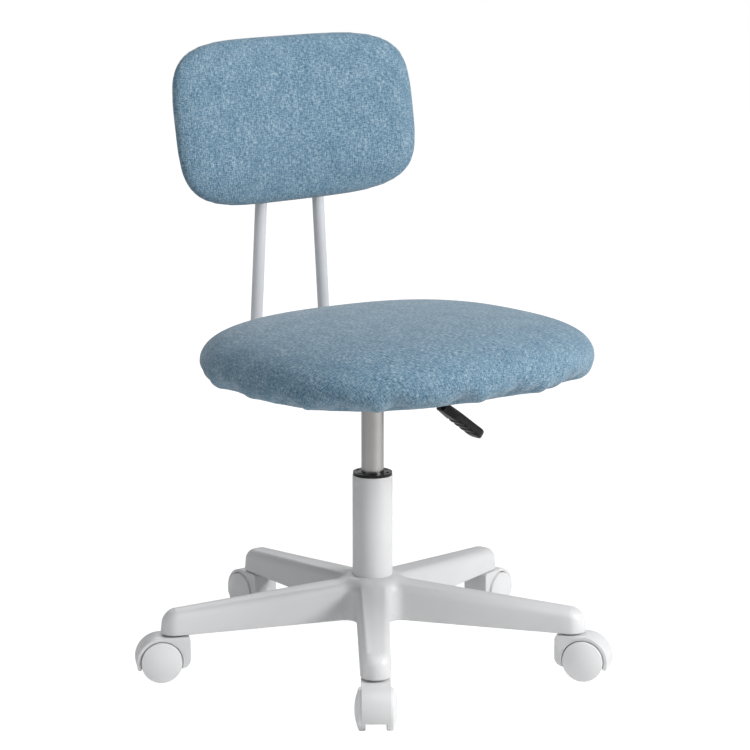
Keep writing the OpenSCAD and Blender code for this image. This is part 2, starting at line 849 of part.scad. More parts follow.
// A wheel with a domed outer face, on the axle's blind bore
module wheel(k, side) {
    dome = 5.5;
    dome_r = (wheel_r * wheel_r + dome * dome) / (2 * dome);
    color("whitesmoke") at_axle(k) rotate([side > 0 ? 0 : 180, 0, 0]) difference() {
        intersection() {
            translate([0, 0, wheel_gap / 2]) cylinder(r = wheel_r, h = wheel_w);
            translate([0, 0, wheel_out - dome_r]) sphere(r = dome_r, $fn = 128);
        }
        cylinder(d = axle_d + 2 * running, h = axle_l / 2 + 0.5);
    }
}

star_base();
stem_sleeves();
column_tube();
guide_bushing();
thrust_washer_lower();
thrust_washer_upper();
bearing_balls();
bump_stop();
piston_rod();
piston();
retaining_clip();
gas_cylinder();
cylinder_seal();
valve_button();
mechanism_plate();
lever_grommet();
plate_bolts();
plate_nuts();
lever_rod();
lever_paddle();
seat_board();
seat_foam();
seat_cover();
dust_cover();
back_tube(1);  // back_tube_left
back_tube(-1);  // back_tube_right
tube_plate();
tube_plate_bolts();
tube_plugs();
back_board();
back_foam();
back_cover();
back_screws();
for (k = [1:arms]) {
    caster_hood(k);
    caster_stem(k);
    caster_axle(k);
    wheel(k, 1);
    wheel(k, -1);
}
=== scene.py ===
import bmesh
import bpy
import math
import numpy as np
from mathutils import Matrix, Vector


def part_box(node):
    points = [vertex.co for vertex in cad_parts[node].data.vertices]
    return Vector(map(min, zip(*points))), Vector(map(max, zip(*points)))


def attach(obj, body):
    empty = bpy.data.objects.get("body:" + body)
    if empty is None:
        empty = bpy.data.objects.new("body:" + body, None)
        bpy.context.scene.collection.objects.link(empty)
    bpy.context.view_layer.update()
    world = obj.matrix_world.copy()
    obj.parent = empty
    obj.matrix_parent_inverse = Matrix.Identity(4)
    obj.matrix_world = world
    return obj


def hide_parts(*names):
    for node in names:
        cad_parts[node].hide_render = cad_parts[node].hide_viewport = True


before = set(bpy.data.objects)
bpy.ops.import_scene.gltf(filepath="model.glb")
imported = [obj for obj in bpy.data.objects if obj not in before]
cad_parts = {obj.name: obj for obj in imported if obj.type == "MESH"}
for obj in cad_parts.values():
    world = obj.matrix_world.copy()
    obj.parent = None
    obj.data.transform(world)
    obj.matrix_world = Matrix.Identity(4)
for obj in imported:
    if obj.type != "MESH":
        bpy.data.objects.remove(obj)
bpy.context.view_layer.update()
scene = bpy.context.scene


# ---------------------------------------------------------------- camera
# The chair is seen from its front right, a little from above, with a long lens.
# CHAIR_TURN is how far the chair's front is turned away from the camera.
CHAIR_TURN = math.radians(36.84)
CAMERA_DISTANCE = 2.965
CAMERA_HEIGHT = 0.947
CAMERA_DIP = math.radians(11.15)
SENSOR_WIDTH = 36.0
FOCAL_LENGTH = 117.6
LENS_SHIFT = 0.0033

camera_data = bpy.data.cameras.new("camera")
camera_data.sensor_width = SENSOR_WIDTH
camera_data.lens = FOCAL_LENGTH
camera_data.shift_x = LENS_SHIFT
camera = bpy.data.objects.new("camera", camera_data)
camera.location = (-CAMERA_DISTANCE * math.sin(CHAIR_TURN),
                   -CAMERA_DISTANCE * math.cos(CHAIR_TURN), CAMERA_HEIGHT)
camera.rotation_euler = (math.pi / 2 - CAMERA_DIP, 0, -CHAIR_TURN)
scene.collection.objects.link(camera)
scene.camera = camera


# ---------------------------------------------------------------- studio
# A plain white sweep. The camera sees it white; the floor keeps a soft shadow.
# The key light stands to the camera's right and a large weak fill to its left; one lamp hangs above
# the chair, and one behind it brings out its edges.
ROOM_LIGHT = 0.3
FLOOR_HALF = 6.0
FLOOR_GLOW = 1.14
FLOOR_WHITE_SHARE = 0.9
LIGHT_AIM = Vector((0, 0, 0.4))

scene.view_settings.view_transform = "Standard"


def white_to_camera(tree, shader_output, share):
    """A mix that leaves room for plain white over a shader, for the rays that the camera sends."""
    path = tree.nodes.new("ShaderNodeLightPath")
    amount = tree.nodes.new("ShaderNodeMath")
    amount.operation = "MULTIPLY"
    amount.inputs[1].default_value = share
    tree.links.new(path.outputs["Is Camera Ray"], amount.inputs[0])
    mix = tree.nodes.new("ShaderNodeMixShader")
    tree.links.new(amount.outputs[0], mix.inputs[0])
    tree.links.new(shader_output, mix.inputs[1])
    return mix


world = bpy.data.worlds.new("studio")
world.use_nodes = True
scene.world = world
tree = world.node_tree
tree.nodes.clear()
room = tree.nodes.new("ShaderNodeBackground")
room.inputs["Color"].default_value = (0.97, 0.98, 1.0, 1)
room.inputs["Strength"].default_value = ROOM_LIGHT
blank = tree.nodes.new("ShaderNodeBackground")
blank.inputs["Color"].default_value = (1, 1, 1, 1)
mix = white_to_camera(tree, room.outputs[0], 1.0)
tree.links.new(blank.outputs[0], mix.inputs[2])
out = tree.nodes.new("ShaderNodeOutputWorld")
tree.links.new(mix.outputs[0], out.inputs["Surface"])

floor_mesh = bpy.data.meshes.new("floor")
floor_mesh.from_pydata([(-FLOOR_HALF, -FLOOR_HALF, 0), (FLOOR_HALF, -FLOOR_HALF, 0),
                        (FLOOR_HALF, FLOOR_HALF, 0), (-FLOOR_HALF, FLOOR_HALF, 0)], [], [(0, 1, 2, 3)])
floor = bpy.data.objects.new("floor", floor_mesh)
scene.collection.objects.link(floor)
floor_paint = bpy.data.materials.new("floor_paper")
floor_paint.use_nodes = True
tree = floor_paint.node_tree
tree.nodes.clear()
paper = tree.nodes.new("ShaderNodeBsdfDiffuse")
paper.inputs["Color"].default_value = (0.9, 0.9, 0.9, 1)
glow = tree.nodes.new("ShaderNodeEmission")
glow.inputs["Color"].default_value = (1, 1, 1, 1)
glow.inputs["Strength"].default_value = FLOOR_GLOW
mix = white_to_camera(tree, paper.outputs[0], FLOOR_WHITE_SHARE)
tree.links.new(glow.outputs[0], mix.inputs[2])
out = tree.nodes.new("ShaderNodeOutputMaterial")
tree.links.new(mix.outputs[0], out.inputs["Surface"])
floor_mesh.materials.append(floor_paint)


def add_softbox(name, turn, height, distance, size, watts):
    """An area lamp aimed at the chair's middle; turn is from the camera, to its right."""
    lamp = bpy.data.lights.new(name, "AREA")
    lamp.shape = "DISK"
    lamp.size = size
    lamp.energy = watts
    angle = turn - CHAIR_TURN
    lamp_object = bpy.data.objects.new(name, lamp)
    lamp_object.location = (distance * math.sin(angle), -distance * math.cos(angle), height)
    aim = LIGHT_AIM - lamp_object.location
    lamp_object.rotation_euler = aim.to_track_quat("-Z", "Y").to_euler()
    scene.collection.objects.link(lamp_object)


add_softbox("key_softbox", math.radians(66), 1.5, 2.4, 0.9, 54)
add_softbox("top_softbox", math.radians(20), 3.0, 1.2, 1.8, 26)
add_softbox("fill_softbox", math.radians(-60), 1.3, 3.4, 2.0, 6)
add_softbox("rear_softbox", math.radians(190), 1.9, 3.0, 1.6, 16)


# ---------------------------------------------------------------- star base
# The base is one moulding of white glass-filled nylon: five arms that run into a hub.
# Its underside is ribbed, and the column is pressed into the hub from above.
MM = 0.001
BASE_LOW, BASE_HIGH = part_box("star_base")
ARMS = 5
STEM_RADIUS = 255 * MM
ARM_BOTTOM = BASE_LOW.z + 1 * MM
HUB_TOP = BASE_HIGH.z
ROOT_HALF = 20.8 * MM
TIP_HALF = 18 * MM
ROOT_TOP = ARM_BOTTOM + 48.6 * MM
TIP_TOP = ARM_BOTTOM + 28.8 * MM
HUB_FILLET = 15 * MM
FILLET_REACH = 45 * MM
COLLAR_RADIUS = 44 * MM
COLLAR_RUN = 14 * MM
COLUMN_HOLE = 25.3 * MM
EDGE_ROUND = 11 * MM
TIP_ROUND = 16.5 * MM
BOTTOM_LIP = 1.5 * MM
SIDE_DRAFT = 1.1 * MM
TOP_CROWN = 0.6 * MM


def add_mesh(name, vertices, faces):
    mesh = bpy.data.meshes.new(name)
    mesh.from_pydata([tuple(v) for v in vertices], [], faces)
    piece = bpy.data.objects.new(name, mesh)
    scene.collection.objects.link(piece)
    return piece


def weld(piece):
    """Merges doubles and turns every face outwards."""
    work = bmesh.new()
    work.from_mesh(piece.data)
    bmesh.ops.remove_doubles(work, verts=work.verts, dist=2e-5)
    bmesh.ops.dissolve_degenerate(work, edges=work.edges, dist=1e-7)
    bmesh.ops.recalc_face_normals(work, faces=work.faces)
    work.to_mesh(piece.data)
    work.free()


def shade(piece, sharp_over=38):
    """Smooth shading with the edges that turn more than sharp_over degrees kept sharp."""
    work = bmesh.new()
    work.from_mesh(piece.data)
    for face in work.faces:
        face.smooth = True
    for edge in work.edges:
        edge.smooth = edge.calc_face_angle(0) < math.radians(sharp_over)
    work.to_mesh(piece.data)
    work.free()


def apply_modifiers(piece):
    """Puts the evaluated mesh in place of the piece's own and drops its modifiers."""
    graph = bpy.context.evaluated_depsgraph_get()
    baked = bpy.data.meshes.new_from_object(piece.evaluated_get(graph))
    piece.modifiers.clear()
    piece.data = baked


def cut_away(piece, cutter):
    cut = piece.modifiers.new("cut", "BOOLEAN")
    cut.operation = "DIFFERENCE"
    cut.solver = "EXACT"
    cut.object = cutter
    bpy.context.view_layer.update()
    apply_modifiers(piece)
    bpy.data.objects.remove(cutter)


def arm_half_width(along):
    return ROOT_HALF + (TIP_HALF - ROOT_HALF) * along / STEM_RADIUS


def arm_top(x, y):
    """Height of the base's top: it falls along the arm and rises to a collar at the column."""
    r = math.hypot(x, y)
    along = max(y, r * math.cos(math.pi / ARMS))
    fall = ROOT_TOP + (TIP_TOP - ROOT_TOP) * along / STEM_RADIUS
    lift = min(max((COLLAR_RADIUS - r) / COLLAR_RUN, 0), 1)
    return fall + (HUB_TOP - fall) * lift * lift * (3 - 2 * lift)


def half_sector():
    """Outline points and their partners on the arm's middle line, from between two arms to the tip."""
    bisector = math.pi / ARMS
    centre_r = (arm_half_width(FILLET_REACH) + HUB_FILLET) / math.sin(bisector)
    cx, cy = centre_r * math.sin(bisector), centre_r * math.cos(bisector)
    points = []
    steps = 9
    for i in range(steps):
        share = i / steps
        turn = -math.pi / 2 - bisector + share * (bisector - math.pi / 2)
        hole = bisector * (1 - share)
        points.append(((cx + HUB_FILLET * math.cos(turn), cy + HUB_FILLET * math.sin(turn)),
                       (COLUMN_HOLE * math.sin(hole), COLUMN_HOLE * math.cos(hole)), EDGE_ROUND))
    steps = 26
    for i in range(steps):
        share = i / steps
        y = cy + (STEM_RADIUS - cy) * share
        points.append(((arm_half_width(y), y), (0, COLUMN_HOLE + (STEM_RADIUS - COLUMN_HOLE) * share),
                       EDGE_ROUND))
    steps = 12
    for i in range(steps + 1):
        turn = math.pi / 2 * i / steps
        points.append(((TIP_HALF * math.cos(turn), STEM_RADIUS + TIP_HALF * math.sin(turn)),
                       (0, STEM_RADIUS), EDGE_ROUND + (TIP_ROUND - EDGE_ROUND) * math.sin(turn)))
    return points


def base_profile(outer, inner, edge):
    """One cross-section from the hub or middle line, under the arm, round its side and back on top."""
    (ox, oy), (ix, iy) = outer, inner
    length = math.hypot(ix - ox, iy - oy)
    dx, dy = (ix - ox) / length, (iy - oy) / length
    lip = BOTTOM_LIP
    column = [(ix, iy, ARM_BOTTOM), (ox + dx * lip * 2, oy + dy * lip * 2, ARM_BOTTOM)]
    for i in range(4):
        turn = math.pi / 2 * i / 3
        inset = lip * (1 - math.sin(turn))
        column.append((ox + dx * inset, oy + dy * inset, ARM_BOTTOM + lip * (1 - math.cos(turn))))
    for i in range(9):
        turn = math.pi / 2 * i / 8
        inset = SIDE_DRAFT + edge * (1 - math.cos(turn))
        x, y = ox + dx * inset, oy + dy * inset
        column.append((x, y, arm_top(x, y) - edge * (1 - math.sin(turn))))
    start = SIDE_DRAFT + edge
    for i in range(1, 5):
        share = i / 4
        inset = start + (length - start) * share
        x, y = ox + dx * inset, oy + dy * inset
        column.append((x, y, arm_top(x, y) + TOP_CROWN * math.sin(share * math.pi / 2)))
    return column


half = half_sector()
sector = half + [((-o[0], o[1]), (-i[0], i[1]), edge) for o, i, edge in half[-2:0:-1]]
rows = []
for k in range(ARMS):
    turn = Matrix.Rotation(2 * math.pi * k / ARMS, 3, "Z")
    rows += [[turn @ Vector(p) for p in base_profile(*stop)] for stop in sector]
depth = len(rows[0])
vertices = [p for row in rows for p in row]
faces = []
for i in range(len(rows)):
    n = (i + 1) % len(rows)
    for j in range(depth - 1):
        faces.append((i * depth + j, n * depth + j, n * depth + j + 1, i * depth + j + 1))
    # The wall of the column's hole closes the loop where the partners lie on the hub's circle.
    if max(math.hypot(*rows[m][0][:2]) for m in (i, n)) < COLUMN_HOLE + 1e-5:
        faces.append((i * depth + depth - 1, n * depth + depth - 1, n * depth, i * depth))
star = add_mesh("star_base_moulding", vertices, faces)
weld(star)

# The underside: two long pockets in each arm, either side of a middle rib, and the stem's socket.
WALL = 3.2 * MM
RIB = 3 * MM
POCKET_START = 46 * MM
POCKET_END = 238 * MM
POCKET_SLOPE = 5 * MM
SOCKET_RADIUS = 6.7 * MM
SOCKET_DEPTH = 22 * MM
THROUGH = 5 * MM
pockets = bmesh.new()
for k in range(ARMS):
    turn = Matrix.Rotation(2 * math.pi * k / ARMS, 4, "Z")
    for side in (-1, 1):
        corners = []
        for y in (POCKET_START, POCKET_END):
            for x in (RIB / 2, arm_half_width(y) - WALL):
                for z in (ARM_BOTTOM - THROUGH, arm_top(0, y) - WALL - POCKET_SLOPE * (x > RIB)):
                    corners.append(pockets.verts.new(turn @ Vector((side * x, y, z))))
        bmesh.ops.convex_hull(pockets, input=corners)
    bmesh.ops.create_cone(pockets, cap_ends=True, segments=32, radius1=SOCKET_RADIUS,
                          radius2=SOCKET_RADIUS, depth=2 * SOCKET_DEPTH,
                          matrix=turn @ Matrix.Translation((0, STEM_RADIUS, ARM_BOTTOM)))
pocket_mesh = bpy.data.meshes.new("pockets")
bmesh.ops.recalc_face_normals(pockets, faces=pockets.faces)
pockets.to_mesh(pocket_mesh)
pockets.free()
pocket_cutter = bpy.data.objects.new("pockets", pocket_mesh)
scene.collection.objects.link(pocket_cutter)
cut_away(star, pocket_cutter)
shade(star)


def noise_bump(tree, scale, strength, distance):
    """A Bump node fed by fine noise on Object coordinates, for moulded and painted skins."""
    place = tree.nodes.new("ShaderNodeTexCoord")
    noise = tree.nodes.new("ShaderNodeTexNoise")
    noise.inputs["Scale"].default_value = scale
    noise.inputs["Detail"].default_value = 3.0
    tree.links.new(place.outputs["Object"], noise.inputs["Vector"])
    bump = tree.nodes.new("ShaderNodeBump")
    bump.inputs["Strength"].default_value = strength
    bump.inputs["Distance"].default_value = distance
    tree.links.new(noise.outputs["Fac"], bump.inputs["Height"])
    return bump


def vary(tree, scale, low, high):
    """A colour that wanders between low and high in soft patches."""
    place = tree.nodes.new("ShaderNodeTexCoord")
    noise = tree.nodes.new("ShaderNodeTexNoise")
    noise.inputs["Scale"].default_value = scale
    noise.inputs["Detail"].default_value = 4.0
    tree.links.new(place.outputs["Object"], noise.inputs["Vector"])
    ramp = tree.nodes.new("ShaderNodeValToRGB")
    ramp.color_ramp.elements[0].position = 0.3
    ramp.color_ramp.elements[1].position = 0.7
    ramp.color_ramp.elements[0].color = (*low, 1)
    ramp.color_ramp.elements[1].color = (*high, 1)
    tree.links.new(noise.outputs["Fac"], ramp.inputs["Fac"])
    return ramp


def new_material(name, roughness, metallic=0.0):
    material = bpy.data.materials.new(name)
    material.use_nodes = True
    shader = material.node_tree.nodes["Principled BSDF"]
    shader.inputs["Roughness"].default_value = roughness
    shader.inputs["Metallic"].default_value = metallic
    return material, material.node_tree, shader


def new_finish(name, roughness, patches, dark, light, grain=None, metallic=0.0, specular=0.5):
    """A material whose colour wanders from dark to light over patches of a given noise scale.

    grain is the scale, strength and depth of the fine relief of its surface."""
    material, tree, shader = new_material(name, roughness, metallic)
    shader.inputs["Specular IOR Level"].default_value = specular
    tint = vary(tree, patches, dark, light)
    tree.links.new(tint.outputs["Color"], shader.inputs["Base Color"])
    if grain:
        relief = noise_bump(tree, *grain)
        tree.links.new(relief.outputs["Normal"], shader.inputs["Normal"])
    return material


white_nylon = new_finish("white_nylon", 0.42, 9.0, (0.695, 0.697, 0.7), (0.73, 0.731, 0.733),
                         grain=(900.0, 0.12, 0.0003))
star.data.materials.append(white_nylon)
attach(star, "base")
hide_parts("star_base")


# ---------------------------------------------------------------- casters
# Each caster has a white moulded hood that wraps the upper part of two domed wheels.
# The hood turns on a steel stem in the arm's tip; the wheels run on a steel axle through its web.
WHEEL_RADIUS = 25 * MM
WHEEL_IN = 12.3 * MM
WHEEL_OUT = 25 * MM
WHEEL_DOME = 5.5 * MM
WHEEL_EDGE = 1 * MM
AXLE_HOLE = 3.1 * MM
AXLE_HOLE_END = 20.5 * MM
CASTER_TRAIL = 18.5 * MM
HOOD_HALF = 17 * MM
HOOD_RADIUS = 30.3 * MM
HOOD_CUT = 16 * MM
HOOD_TOP = 55.5 * MM
HOOD_LOW_ROUND = 12 * MM
HOOD_HIGH_ROUND = 5 * MM
HOOD_EDGE = 1.3 * MM
POCKET_RADIUS = 26.2 * MM
POCKET_DEPTH = 30 * MM
WEB_HALF = 11.8 * MM
PARKED_CASTER = 2
PARKED_TURN = math.radians(-9)


def at_stem(k):
    """Places a caster built with its stem on Z and its trail along +Y on arm k."""
    around = Matrix.Rotation(2 * math.pi * (k - 1) / ARMS, 4, "Z")
    parked = PARKED_TURN if k == PARKED_CASTER else 0
    return around @ Matrix.Translation((0, STEM_RADIUS, 0)) @ Matrix.Rotation(parked, 4, "Z")


def lathe(name, profile, segments=96):
    """Turns (radius, height) points about Z into a closed piece; points on the axis close it."""
    vertices, faces, rings = [], [], []
    for r, z in profile:
        if r < 1e-6:
            rings.append([len(vertices)] * segments)
            vertices.append((0, 0, z))
        else:
            rings.append(list(range(len(vertices), len(vertices) + segments)))
            for i in range(segments):
                turn = 2 * math.pi * i / segments
                vertices.append((r * math.cos(turn), r * math.sin(turn), z))
    closed = profile[0][0] > 1e-6 and profile[-1][0] > 1e-6
    for a, b in zip(rings, rings[1:] + ([rings[0]] if closed else [])):
        for i in range(segments):
            n = (i + 1) % segments
            loop = list(dict.fromkeys([a[i], a[n], b[n], b[i]]))
            if len(loop) > 2:
                faces.append(loop)
    piece = add_mesh(name, vertices, faces)
    weld(piece)
    return piece


def copy_piece(piece, name, place):
    """A second piece of the same mould, with its place put into its mesh."""
    mesh = piece.data.copy()
    mesh.transform(place)
    twin = bpy.data.objects.new(name, mesh)
    scene.collection.objects.link(twin)
    return twin


def hood_outline():
    """The hood from its side: straight at the stem, rounded over the wheels."""
    low, high = HOOD_LOW_ROUND, HOOD_HIGH_ROUND
    points = [(-HOOD_HALF + low * (1 - math.sin(t)), HOOD_CUT + low * (1 - math.cos(t)))
              for t in np.linspace(0, math.pi / 2, 7)]
    points += [(-HOOD_HALF + high * (1 - math.cos(t)), HOOD_TOP - high * (1 - math.sin(t)))
               for t in np.linspace(0, math.pi / 2, 6)]
    stop = math.asin((HOOD_CUT - WHEEL_RADIUS) / HOOD_RADIUS)
    points += [(CASTER_TRAIL + HOOD_RADIUS * math.cos(t), WHEEL_RADIUS + HOOD_RADIUS * math.sin(t))
               for t in np.linspace(math.pi / 2, stop, 26)]
    return points


outline = hood_outline()
count = len(outline)
hood = add_mesh("hood", [(x, y, z) for x in (-HOOD_HALF, HOOD_HALF) for y, z in outline],
                [tuple(range(count)), tuple(range(2 * count - 1, count - 1, -1))]
                + [(i, i + count, (i + 1) % count + count, (i + 1) % count) for i in range(count)])
weld(hood)
for side in (-1, 1):
    pocket = lathe("pocket", [(0, 0), (POCKET_RADIUS, 0), (POCKET_RADIUS, POCKET_DEPTH), (0, POCKET_DEPTH)])
    pocket.data.transform(Matrix.Translation((side * WEB_HALF, CASTER_TRAIL, WHEEL_RADIUS))
                          @ Matrix.Rotation(side * math.pi / 2, 4, "Y"))
    cut_away(hood, pocket)
edge_round = hood.modifiers.new("edges", "BEVEL")
edge_round.width = HOOD_EDGE
edge_round.segments = 3
edge_round.limit_method = "ANGLE"
edge_round.angle_limit = math.radians(40)
apply_modifiers(hood)
shade(hood, 32)
hood.data.materials.append(white_nylon)

dome_profile = [(AXLE_HOLE, WHEEL_IN), (WHEEL_RADIUS - WHEEL_EDGE, WHEEL_IN),
                (WHEEL_RADIUS, WHEEL_IN + WHEEL_EDGE), (WHEEL_RADIUS, WHEEL_OUT - WHEEL_DOME - 0.6 * MM)]
dome_curve = (WHEEL_RADIUS ** 2 + WHEEL_DOME ** 2) / (2 * WHEEL_DOME)
for share in np.linspace(0.985, 0, 18):
    r = WHEEL_RADIUS * share
    dome_profile.append((r, WHEEL_OUT - dome_curve + math.sqrt(dome_curve ** 2 - r * r)))
dome_profile += [(0, AXLE_HOLE_END), (AXLE_HOLE, AXLE_HOLE_END)]
wheel = lathe("wheel", dome_profile + [(AXLE_HOLE, WHEEL_IN)])
shade(wheel, 40)
wheel_nylon = new_finish("wheel_nylon", 0.3, 20.0, (0.77, 0.772, 0.775), (0.8, 0.8, 0.8),
                         grain=(700.0, 0.06, 0.0002))
wheel.data.materials.append(wheel_nylon)

for k in range(1, ARMS + 1):
    place = at_stem(k)
    twin = copy_piece(hood, f"hood_{k}", place)
    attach(twin, f"caster_{k}")
    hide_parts(f"caster_hood_{k}")
    axle = place @ Matrix.Translation((0, CASTER_TRAIL, WHEEL_RADIUS))
    for side, turn in (("left", math.pi / 2), ("right", -math.pi / 2)):
        twin = copy_piece(wheel, f"tread_{k}_{side}", axle @ Matrix.Rotation(turn, 4, "Y"))
        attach(twin, f"wheel_{k}_{side}")
        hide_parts(f"wheel_{k}_{side}")
bpy.data.objects.remove(hood)
bpy.data.objects.remove(wheel)

steel = new_finish("bare_steel", 0.3, 60.0, (0.5, 0.5, 0.49), (0.58, 0.58, 0.57), metallic=1.0)


def paint_nodes(material, *names):
    """Gives CAD nodes a material."""
    for name in names:
        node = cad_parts[name]
        node.data.materials.clear()
        node.data.materials.append(material)


paint_nodes(steel, *[f"caster_{part}_{k}" for part in ("stem", "axle") for k in range(1, ARMS + 1)])
paint_nodes(steel, "stem_sleeves")


# ---------------------------------------------------------------- column and gas lift
# The column is painted steel tube, pressed into the hub, with a black guide bushing in its top.
# The lift's bare cylinder slides in the bushing and holds the seat's mechanism on its taper.
COLUMN_LOW, COLUMN_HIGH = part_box("column_tube")
COLUMN_RADIUS = 25 * MM
COLUMN_BORE = 23 * MM
END_PLATE = 3 * MM
ROD_HOLE = 5.3 * MM
DIMPLE_TURN = math.radians(-92)
DIMPLE_DROP = 14 * MM
column = lathe("column", [(COLUMN_BORE, COLUMN_LOW.z + END_PLATE), (ROD_HOLE, COLUMN_LOW.z + END_PLATE),
                          (ROD_HOLE, COLUMN_LOW.z), (COLUMN_RADIUS - 0.8 * MM, COLUMN_LOW.z),
                          (COLUMN_RADIUS, COLUMN_LOW.z + 0.8 * MM), (COLUMN_RADIUS, COLUMN_HIGH.z - 1.2 * MM),
                          (COLUMN_RADIUS - 0.35 * MM, COLUMN_HIGH.z - 0.35 * MM),
                          (COLUMN_RADIUS - 1 * MM, COLUMN_HIGH.z), (COLUMN_BORE, COLUMN_HIGH.z)], 128)
dimple = lathe("dimple", [(0, -1.2 * MM), (1.3 * MM, -0.4 * MM), (1.3 * MM, 2 * MM), (0, 2 * MM)], 24)
dimple.data.transform(Matrix.Rotation(DIMPLE_TURN, 4, "Z") @ Matrix.Translation((0, -COLUMN_RADIUS, 0))
                      @ Matrix.Rotation(math.pi / 2, 4, "X"))
dimple.data.transform(Matrix.Translation((0, 0, COLUMN_HIGH.z - DIMPLE_DROP)))
cut_away(column, dimple)
shade(column, 35)
white_paint = new_finish("white_paint", 0.36, 14.0, (0.735, 0.735, 0.737), (0.77, 0.77, 0.772),
                         grain=(420.0, 0.16, 0.0004))
column.data.materials.append(white_paint)
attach(column, "base")
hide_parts("column_tube")

black_plastic = new_finish("black_plastic", 0.38, 30.0, (0.003, 0.003, 0.0035), (0.007, 0.007, 0.0075),
                           grain=(1200.0, 0.2, 0.0002), specular=0.3)
paint_nodes(black_plastic, "guide_bushing", "lever_grommet")

turned_steel, tree, shader = new_material("turned_steel", 0.27, 1.0)
place = tree.nodes.new("ShaderNodeTexCoord")
stretch = tree.nodes.new("ShaderNodeMapping")
stretch.inputs["Scale"].default_value = (8, 8, 2600)
tree.links.new(place.outputs["Object"], stretch.inputs["Vector"])
turning = tree.nodes.new("ShaderNodeTexNoise")
turning.inputs["Scale"].default_value = 1.0
turning.inputs["Detail"].default_value = 3.0
tree.links.new(stretch.outputs["Vector"], turning.inputs["Vector"])
ramp = tree.nodes.new("ShaderNodeValToRGB")
ramp.color_ramp.elements[0].color = (0.31, 0.305, 0.3, 1)
ramp.color_ramp.elements[1].color = (0.56, 0.55, 0.54, 1)
tree.links.new(turning.outputs["Fac"], ramp.inputs["Fac"])
tree.links.new(ramp.outputs["Color"], shader.inputs["Base Color"])
bump = tree.nodes.new("ShaderNodeBump")
bump.inputs["Strength"].default_value = 0.25
bump.inputs["Distance"].default_value = 0.0002
tree.links.new(turning.outputs["Fac"], bump.inputs["Height"])
tree.links.new(bump.outputs["Normal"], shader.inputs["Normal"])
paint_nodes(turned_steel, "gas_cylinder")

black_steel = new_finish("black_steel", 0.45, 25.0, (0.006, 0.006, 0.0065), (0.013, 0.013, 0.014),
                         grain=(600.0, 0.25, 0.0003), specular=0.35)
paint_nodes(black_steel, "mechanism_plate", "tube_plate")

# Pieces inside the lift, the base and the pads: seen only when the chair comes apart.
grey_plastic = new_finish("grey_plastic", 0.5, 30.0, (0.2, 0.2, 0.21), (0.26, 0.26, 0.27))
rubber = new_finish("rubber", 0.7, 30.0, (0.02, 0.02, 0.02), (0.035, 0.035, 0.035))
plywood = new_finish("plywood", 0.65, 18.0, (0.42, 0.28, 0.15), (0.56, 0.39, 0.22))
paint_nodes(steel, "thrust_washer_lower", "thrust_washer_upper", "bearing_balls", "piston_rod",
            "retaining_clip", "plate_nuts", "plate_bolts", "tube_plate_bolts", "back_screws", "valve_button")
paint_nodes(grey_plastic, "piston", "cylinder_seal", "tube_plugs")
paint_nodes(rubber, "bump_stop")
paint_nodes(plywood, "seat_board", "back_board")


# ---------------------------------------------------------------- height lever
# A bent black steel rod runs from the valve out under the seat, with a ribbed plastic paddle on it.
# Lifting the paddle tips the rod, whose inner end presses the valve's button.
LEVER_X = 40.75 * MM
LEVER_Z = 353.8 * MM
LEVER_START = 9 * MM
LEVER_RADIUS = 3 * MM
LEVER_INNER_END = -5 * MM
LEVER_BEND = 12 * MM
LEVER_BEND_LEAD = 4 * MM
LEVER_DROOP = math.radians(36.5)
LEVER_NECK = 72 * MM
PADDLE_LENGTH = 80 * MM
PADDLE_HALF = 13 * MM
PADDLE_THICK = 6.5 * MM
ROD_STOP = 16 * MM
WAIST_SHARE = 0.6
WAIST_END = 0.36
RIB_START = 0.34
RIB_END = 0.86
RIB_PITCH = 0.13
RIB_DEPTH = 1.8 * MM
ROUNDED_SQUARE = 0.4


def sweep(name, path, radius, segments=32):
    """A round bar along a path of points, closed at both ends."""
    points = [Vector(p) for p in path]
    vertices, faces = [], []
    side = None
    for i, point in enumerate(points):
        ahead = (points[min(i + 1, len(points) - 1)] - points[max(i - 1, 0)]).normalized()
        side = Vector((0, 1, 0)).cross(ahead) if side is None else side - ahead * side.dot(ahead)
        if side.length < 1e-3:
            side = Vector((1, 0, 0)).cross(ahead)
        side.normalize()
        up = ahead.cross(side)
        for j in range(segments):
            turn = 2 * math.pi * j / segments
            vertices.append(point + side * (radius * math.cos(turn)) + up * (radius * math.sin(turn)))
    for i in range(len(points) - 1):
        for j in range(segments):
            n = (j + 1) % segments
            faces.append((i * segments + j, i * segments + n, (i + 1) * segments + n, (i + 1) * segments + j))
    last = (len(points) - 1) * segments
    faces.append(tuple(range(segments)))
    faces.append(tuple(range(last, last + segments)))
    bar = add_mesh(name, vertices, faces)
    weld(bar)
    return bar


bend = LEVER_X + LEVER_START
path = [(LEVER_INNER_END, 0, LEVER_Z), (20 * MM, 0, LEVER_Z), (bend - LEVER_BEND_LEAD, 0, LEVER_Z)]
path += [(bend - LEVER_BEND_LEAD + LEVER_BEND * math.sin(t), 0, LEVER_Z - LEVER_BEND * (1 - math.cos(t)))
         for t in np.linspace(0.1, LEVER_DROOP, 6)]
reach = LEVER_NECK + PADDLE_LENGTH - ROD_STOP
path.append((bend + reach * math.cos(LEVER_DROOP), 0, LEVER_Z - reach * math.sin(LEVER_DROOP)))
rod = sweep("lever_bar", path, LEVER_RADIUS)
shade(rod, 50)
rod.data.materials.append(black_steel)
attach(rod, "lever")
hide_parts("lever_rod")

